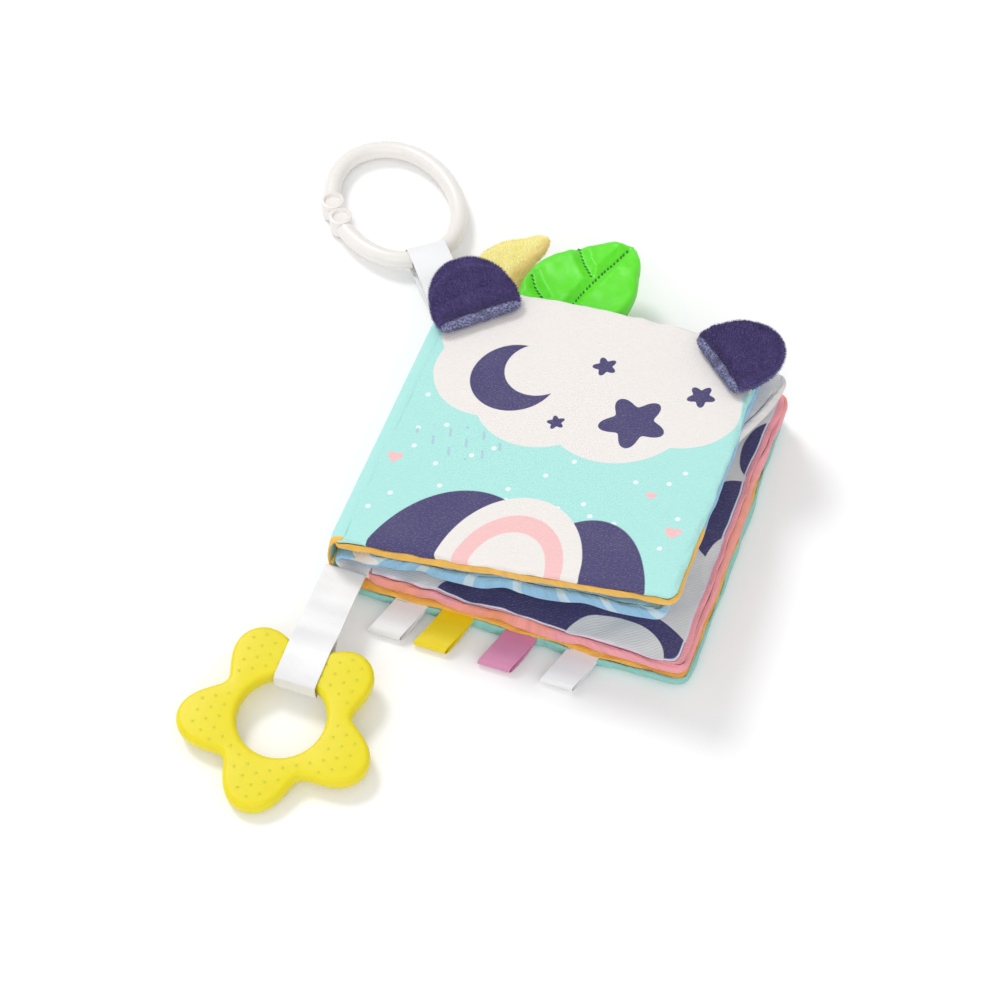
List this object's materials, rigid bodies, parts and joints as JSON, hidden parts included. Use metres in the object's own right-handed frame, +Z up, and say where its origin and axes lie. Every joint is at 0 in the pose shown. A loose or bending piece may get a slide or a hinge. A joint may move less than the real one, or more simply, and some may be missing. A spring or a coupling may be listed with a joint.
{
  "type": "crinkle cloth book",
  "caption": "Padded cloth baby book of four crinkle leaves with plush ears, head flaps, tag loops, a link ring and a star teether on ribbons.",
  "frame": {"origin": "centre of the back cover's flat underside", "axes": "+X from the spine to the fore edge, +Y from the tail edge to the head edge, +Z up from the back cover to the front cover"},
  "size_m": [0.2418, 0.3575, 0.06],
  "materials": {
    "cover_print": "printed polyester twill",
    "amber_cloth": "smooth polyester cloth",
    "teal_cloth": "smooth polyester cloth",
    "spine_cloth": "smooth polyester cloth",
    "sky_cloth": "smooth polyester cloth",
    "grey_print": "printed polyester twill",
    "rose_cloth": "smooth polyester cloth",
    "foam": "soft foam sheet",
    "crinkle_film": "crisp thin film",
    "navy_plush": "short plush",
    "periwinkle_plush": "short plush",
    "yellow_plush": "terry plush",
    "green_satin": "satin",
    "white_satin": "satin ribbon",
    "yellow_satin": "satin ribbon",
    "mauve_satin": "satin ribbon",
    "amber_thread": "sewing thread",
    "green_thread": "sewing thread",
    "fill": "polyester fill",
    "ring_plastic": "glossy moulded plastic",
    "teether_silicone": "satin silicone"
  },
  "bodies": {
    "book_back": {"back_cover_lining": "amber_cloth", "back_cover_outer_fabric": "teal_cloth", "back_cover_foam": "foam", "back_cover_crinkle_film": "crinkle_film", "spine_fabric": "spine_cloth", "gutter_fold": "sky_cloth", "spine_seam_thread": "amber_thread"},
    "front_cover": {"front_cover_printed_face": "cover_print", "front_cover_lining": "amber_cloth", "front_cover_foam": "foam", "front_cover_crinkle_film": "crinkle_film"},
    "second_leaf": {"second_leaf_upper_fabric": "grey_print", "second_leaf_lower_fabric": "sky_cloth", "second_leaf_foam": "foam", "second_leaf_crinkle_film": "crinkle_film"},
    "third_leaf": {"third_leaf_upper_fabric": "grey_print", "third_leaf_lower_fabric": "rose_cloth", "third_leaf_foam": "foam", "third_leaf_crinkle_film": "crinkle_film"},
    "spine_side_ear": {"spine_side_ear_front_plush": "navy_plush", "spine_side_ear_back_plush": "periwinkle_plush", "spine_side_ear_stuffing": "fill"},
    "fore_side_ear": {"fore_side_ear_front_plush": "navy_plush", "fore_side_ear_back_plush": "periwinkle_plush", "fore_side_ear_stuffing": "fill"},
    "leaf_flap": {"leaf_flap_front_satin": "green_satin", "leaf_flap_back_satin": "green_satin", "leaf_flap_wadding": "fill", "leaf_flap_vein_thread": "green_thread"},
    "horn": {"horn_front_plush": "yellow_plush", "horn_back_plush": "yellow_plush", "horn_stuffing": "fill"},
    "ring_ribbon": {"ring_ribbon": "white_satin"},
    "link_ring": {"link_ring": "ring_plastic"},
    "teether_ribbon": {"teether_ribbon": "white_satin"},
    "teether": {"teether_ribbon_loop": "white_satin", "star_teether": "teether_silicone"},
    "tag_white_spine_side": {"tag_loop_white_spine_side": "white_satin"},
    "tag_yellow": {"tag_loop_yellow": "yellow_satin"},
    "tag_mauve": {"tag_loop_mauve": "mauve_satin"},
    "tag_white_fore_side": {"tag_loop_white_fore_side": "white_satin"}
  },
  "joints": [
    {"name": "cover_open", "type": "hinge", "parent": "book_back", "child": "front_cover", "pos_m": [-0.08, 0, 0.03083], "axis": [0, -1, 0], "range_deg": [0, 175]},
    {"name": "second_leaf_turn", "type": "hinge", "parent": "book_back", "child": "second_leaf", "pos_m": [-0.066, 0, 0.0227], "axis": [0, -1, 0], "range_deg": [0, 115.5]},
    {"name": "third_leaf_turn", "type": "hinge", "parent": "book_back", "child": "third_leaf", "pos_m": [-0.066, 0, 0.0135], "axis": [0, -1, 0], "range_deg": [0, 49]},
    {"name": "spine_side_ear_lift", "type": "hinge", "parent": "front_cover", "child": "spine_side_ear", "pos_m": [-0.05275, 0.057, 0.04245], "axis": [0.7656, 0.6407, 0.0573], "range_deg": [0, 90]},
    {"name": "fore_side_ear_lift", "type": "hinge", "parent": "front_cover", "child": "fore_side_ear", "pos_m": [0.04465, 0.057, 0.05135], "axis": [0.7548, -0.6438, 0.1258], "range_deg": [0, 90]},
    {"name": "leaf_flap_bend", "type": "hinge", "parent": "second_leaf", "child": "leaf_flap", "pos_m": [-0.02862, 0.07515, 0.02564], "axis": [0.9969, 0, 0.0784], "range_deg": [-30, 60], "stiffness_Nm_per_rad": 0.015},
    {"name": "horn_bend", "type": "hinge", "parent": "third_leaf", "child": "horn", "pos_m": [-0.066, 0.07515, 0.0135], "axis": [0.9997, 0, 0.0262], "range_deg": [-8, 30], "stiffness_Nm_per_rad": 0.02},
    {"name": "ring_ribbon_lift", "type": "hinge", "parent": "book_back", "child": "ring_ribbon", "pos_m": [-0.08029, 0.07602, 0.0075], "axis": [0.7826, 0.6225, 0], "range_deg": [0, 25]},
    {"name": "ring_swing", "type": "hinge", "parent": "ring_ribbon", "child": "link_ring", "pos_m": [-0.10456, 0.10653, 0.0068], "axis": [0.7826, 0.6225, 0], "range_deg": [0, 70]},
    {"name": "teether_ribbon_lift", "type": "hinge", "parent": "book_back", "child": "teether_ribbon", "pos_m": [-0.0732, -0.0763, 0.0165], "axis": [-1, 0, 0], "range_deg": [0, 45]},
    {"name": "teether_swing", "type": "hinge", "parent": "teether_ribbon", "child": "teether", "pos_m": [-0.0732, -0.10909, 0.01281], "axis": [-1, 0, 0], "range_deg": [0, 40]},
    {"name": "tag_white_spine_side_lift", "type": "hinge", "parent": "book_back", "child": "tag_white_spine_side", "pos_m": [-0.04395, -0.0747, 0.00639], "axis": [-1, 0, 0], "range_deg": [0, 60]},
    {"name": "tag_yellow_lift", "type": "hinge", "parent": "book_back", "child": "tag_yellow", "pos_m": [-0.024, -0.0747, 0.00639], "axis": [-1, 0, 0], "range_deg": [0, 60]},
    {"name": "tag_mauve_lift", "type": "hinge", "parent": "book_back", "child": "tag_mauve", "pos_m": [0.00405, -0.0747, 0.00639], "axis": [-1, 0, 0], "range_deg": [0, 60]},
    {"name": "tag_white_fore_side_lift", "type": "hinge", "parent": "book_back", "child": "tag_white_fore_side", "pos_m": [0.03105, -0.0747, 0.00639], "axis": [-1, 0, 0], "range_deg": [0, 60]}
  ],
  "couplings": [
    {"joint": "second_leaf_turn", "follows": "cover_open", "ratio": 0.66},
    {"joint": "third_leaf_turn", "follows": "cover_open", "ratio": 0.28}
  ]
}
